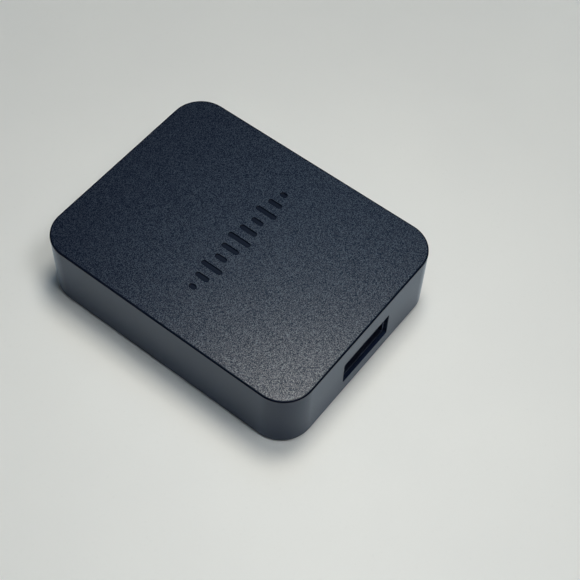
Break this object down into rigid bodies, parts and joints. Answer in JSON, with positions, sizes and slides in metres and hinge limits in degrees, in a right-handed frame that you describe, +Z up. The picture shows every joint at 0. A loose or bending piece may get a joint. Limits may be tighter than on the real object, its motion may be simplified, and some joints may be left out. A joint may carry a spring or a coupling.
{
  "type": "bluetooth audio receiver",
  "caption": "Palm-sized wireless audio receiver: low round-cornered box with a USB-A socket in front, and audio jack, power inlet and pairing button behind.",
  "frame": {"origin": "under the middle of the box, on the surface that the feet stand on", "axes": "+Z up out of the roof; +Y from the USB-A socket's wall to the wall with the jack, inlet and button; +X to the right, seen from the USB-A side"},
  "size_m": [0.045, 0.0584, 0.0145],
  "materials": {
    "shell_plastic": "fine spark-eroded texture on the roof, satin walls",
    "plate_plastic": "fine matte texture",
    "button_plastic": "satin",
    "rubber": "matte",
    "screw_steel": "zinc plated",
    "label_film": "blank printed film, satin",
    "board_laminate": "green solder mask",
    "module_laminate": "blue solder mask",
    "connector_tin": "tin plated sheet",
    "socket_nickel": "black nickel plated sheet",
    "contact_gold": "gold plated",
    "connector_plastic": "black moulded nylon",
    "switch_nylon": "white nylon",
    "light_acrylic": "milky clear",
    "chip_resin": "moulded epoxy",
    "ceramic": "fired ceramic",
    "ferrite": "sintered ferrite",
    "capacitor_aluminium": "drawn can"
  },
  "bodies": {
    "housing": {"audio_codec": "chip_resin", "audio_jack_body": "connector_plastic", "audio_jack_ring_contact": "contact_gold", "audio_jack_sleeve_contact": "contact_gold", "audio_jack_tip_contact": "contact_gold", "bluetooth_ic": "chip_resin", "bottom_plate": "plate_plastic", "case_screw_1": "screw_steel", "case_screw_2": "screw_steel", "case_screw_3": "screw_steel", "case_screw_4": "screw_steel", "ceramic_capacitor_1": "ceramic", "ceramic_capacitor_2": "ceramic", "ceramic_capacitor_3": "ceramic", "ceramic_capacitor_4": "ceramic", "chip_antenna": "ceramic", "crystal_oscillator": "connector_tin", "filter_capacitor_1": "capacitor_aluminium", "filter_capacitor_2": "capacitor_aluminium", "filter_capacitor_3": "capacitor_aluminium", "foot_1": "rubber", "foot_2": "rubber", "foot_3": "rubber", "foot_4": "rubber", "light_pipe": "light_acrylic", "main_pcb": "board_laminate", "micro_usb_contact_1": "contact_gold", "micro_usb_contact_2": "contact_gold", "micro_usb_contact_3": "contact_gold", "micro_usb_contact_4": "contact_gold", "micro_usb_contact_5": "contact_gold", "micro_usb_insulator": "connector_plastic", "micro_usb_shell": "connector_tin", "module_pcb": "module_laminate", "module_shield_can": "connector_tin", "pcb_screw_1": "screw_steel", "pcb_screw_2": "screw_steel", "power_inductor": "ferrite", "power_regulator": "chip_resin", "rating_label": "label_film", "resistor_1": "chip_resin", "resistor_2": "chip_resin", "resistor_3": "chip_resin", "resistor_4": "chip_resin", "status_led": "light_acrylic", "switch_body": "connector_plastic", "switch_dome": "connector_tin", "top_shell": "shell_plastic", "usb_a_contact_1": "contact_gold", "usb_a_contact_2": "contact_gold", "usb_a_contact_3": "contact_gold", "usb_a_contact_4": "contact_gold", "usb_a_insulator": "connector_plastic", "usb_a_shell": "socket_nickel"},
    "button": {"pair_button": "button_plastic"},
    "plunger": {"switch_plunger": "switch_nylon"}
  },
  "joints": [
    {"name": "button_press", "type": "slide", "parent": "housing", "child": "button", "axis": [0, -1, 0], "range_m": [0, 0.0003], "stiffness_N_per_m": 400, "springref_m": -0.001},
    {"name": "plunger_press", "type": "slide", "parent": "housing", "child": "plunger", "axis": [0, -1, 0], "range_m": [0, 0.0003]}
  ],
  "couplings": [
    {"joint": "plunger_press", "follows": "button_press", "ratio": 1}
  ]
}
